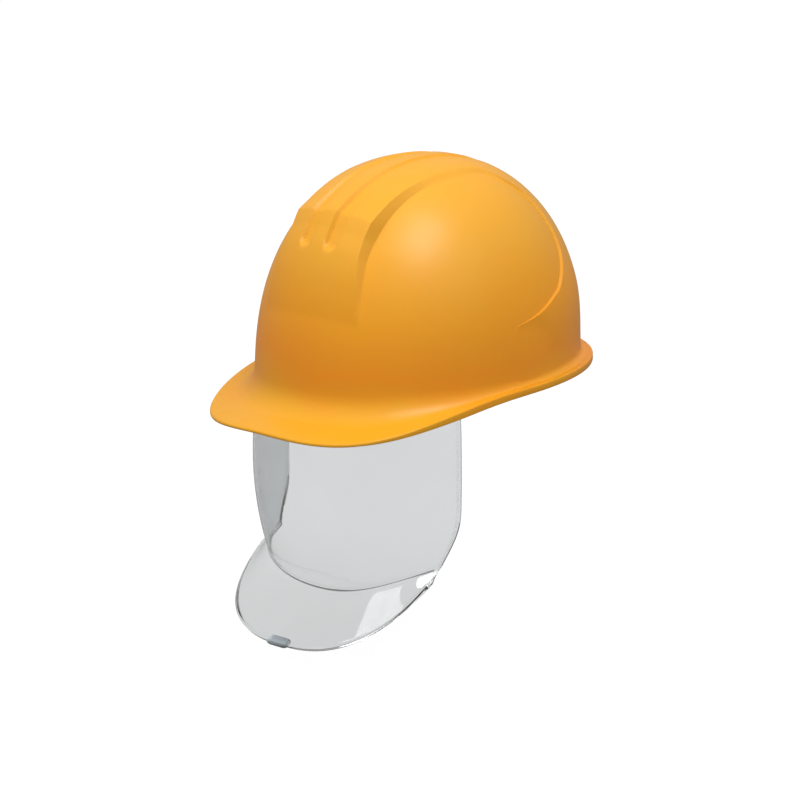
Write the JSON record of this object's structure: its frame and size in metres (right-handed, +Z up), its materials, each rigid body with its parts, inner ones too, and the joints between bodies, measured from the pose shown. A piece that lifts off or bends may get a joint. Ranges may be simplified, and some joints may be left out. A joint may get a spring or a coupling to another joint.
{
  "type": "safety helmet with retractable face shield",
  "caption": "Hard hat with a ribbed dome, a drooping peak and rear rim, strap harness, nape ratchet and a clear face shield that slides up inside the shell.",
  "frame": {"origin": "centre of the head opening at rim level, the head mount", "axes": "+Z up out of the crown, peak and face to -Y, wearer's left to +X"},
  "size_m": [0.222, 0.2785, 0.3308],
  "materials": {
    "shell_plastic": "satin injection-moulded orange-yellow plastic, fine grain on the peak",
    "liner_foam": "expanded bead foam",
    "rail_plastic": "fine matte",
    "rubber": "matte",
    "harness_plastic": "matte polyethylene",
    "steel": "zinc plated",
    "pad_fabric": "knitted pile over foam",
    "webbing": "woven polyester webbing",
    "clear_sheet": "clear polycarbonate sheet, polished",
    "clear_tab": "clear moulded plastic, faint blue",
    "slider_plastic": "natural acetal",
    "knob_plastic": "fine matte",
    "strap_plastic": "matte polyethylene"
  },
  "bodies": {
    "hat": {"shell": "shell_plastic", "impact_liner": "liner_foam", "guide_rail_left": "rail_plastic", "guide_rail_right": "rail_plastic", "stop_pads": "rubber", "harness_ring": "harness_plastic", "rail_screws": "steel", "hanger_left": "harness_plastic", "hanger_right": "harness_plastic", "hanger_rear_left": "harness_plastic", "hanger_rear_right": "harness_plastic", "headband": "harness_plastic", "brow_pad": "pad_fabric", "band_clips": "harness_plastic", "crown_strap_middle": "webbing", "crown_strap_left": "webbing", "crown_strap_right": "webbing", "strap_clips": "harness_plastic", "crown_pad": "pad_fabric", "band_studs": "rail_plastic", "ratchet_housing": "harness_plastic", "ratchet_cover": "harness_plastic", "nape_pad": "pad_fabric"},
    "shield": {"face_shield": "clear_sheet", "grip_tab": "clear_tab", "shield_arm_left": "rail_plastic", "shield_arm_right": "rail_plastic", "sliders_left": "slider_plastic", "sliders_right": "slider_plastic", "shield_rivets": "steel"},
    "knob": {"ratchet_pinion": "slider_plastic", "ratchet_knob": "knob_plastic", "knob_screw": "steel"},
    "strap_left": {"nape_strap_left": "strap_plastic"},
    "strap_right": {"nape_strap_right": "strap_plastic"}
  },
  "joints": [
    {"name": "shield_slide", "type": "hinge", "parent": "hat", "child": "shield", "pos_m": [0, 0.097, -0.058], "axis": [-1, 0, 0], "range_deg": [0, 30.5]},
    {"name": "knob_turn", "type": "hinge", "parent": "hat", "child": "knob", "pos_m": [0, 0.1, -0.008], "axis": [0, -1, 0], "range_deg": [-143.24, 143.24]},
    {"name": "strap_left_slide", "type": "hinge", "parent": "hat", "child": "strap_left", "pos_m": [0, 0.022, -0.008], "axis": [0, 0, 1], "range_deg": [-8.9, 8.9]},
    {"name": "strap_right_slide", "type": "hinge", "parent": "hat", "child": "strap_right", "pos_m": [0, 0.022, -0.008], "axis": [0, 0, -1], "range_deg": [-8.75, 8.75]}
  ],
  "couplings": [
    {"joint": "strap_left_slide", "follows": "knob_turn", "ratio": 0.061381},
    {"joint": "strap_right_slide", "follows": "knob_turn", "ratio": 0.060226}
  ]
}
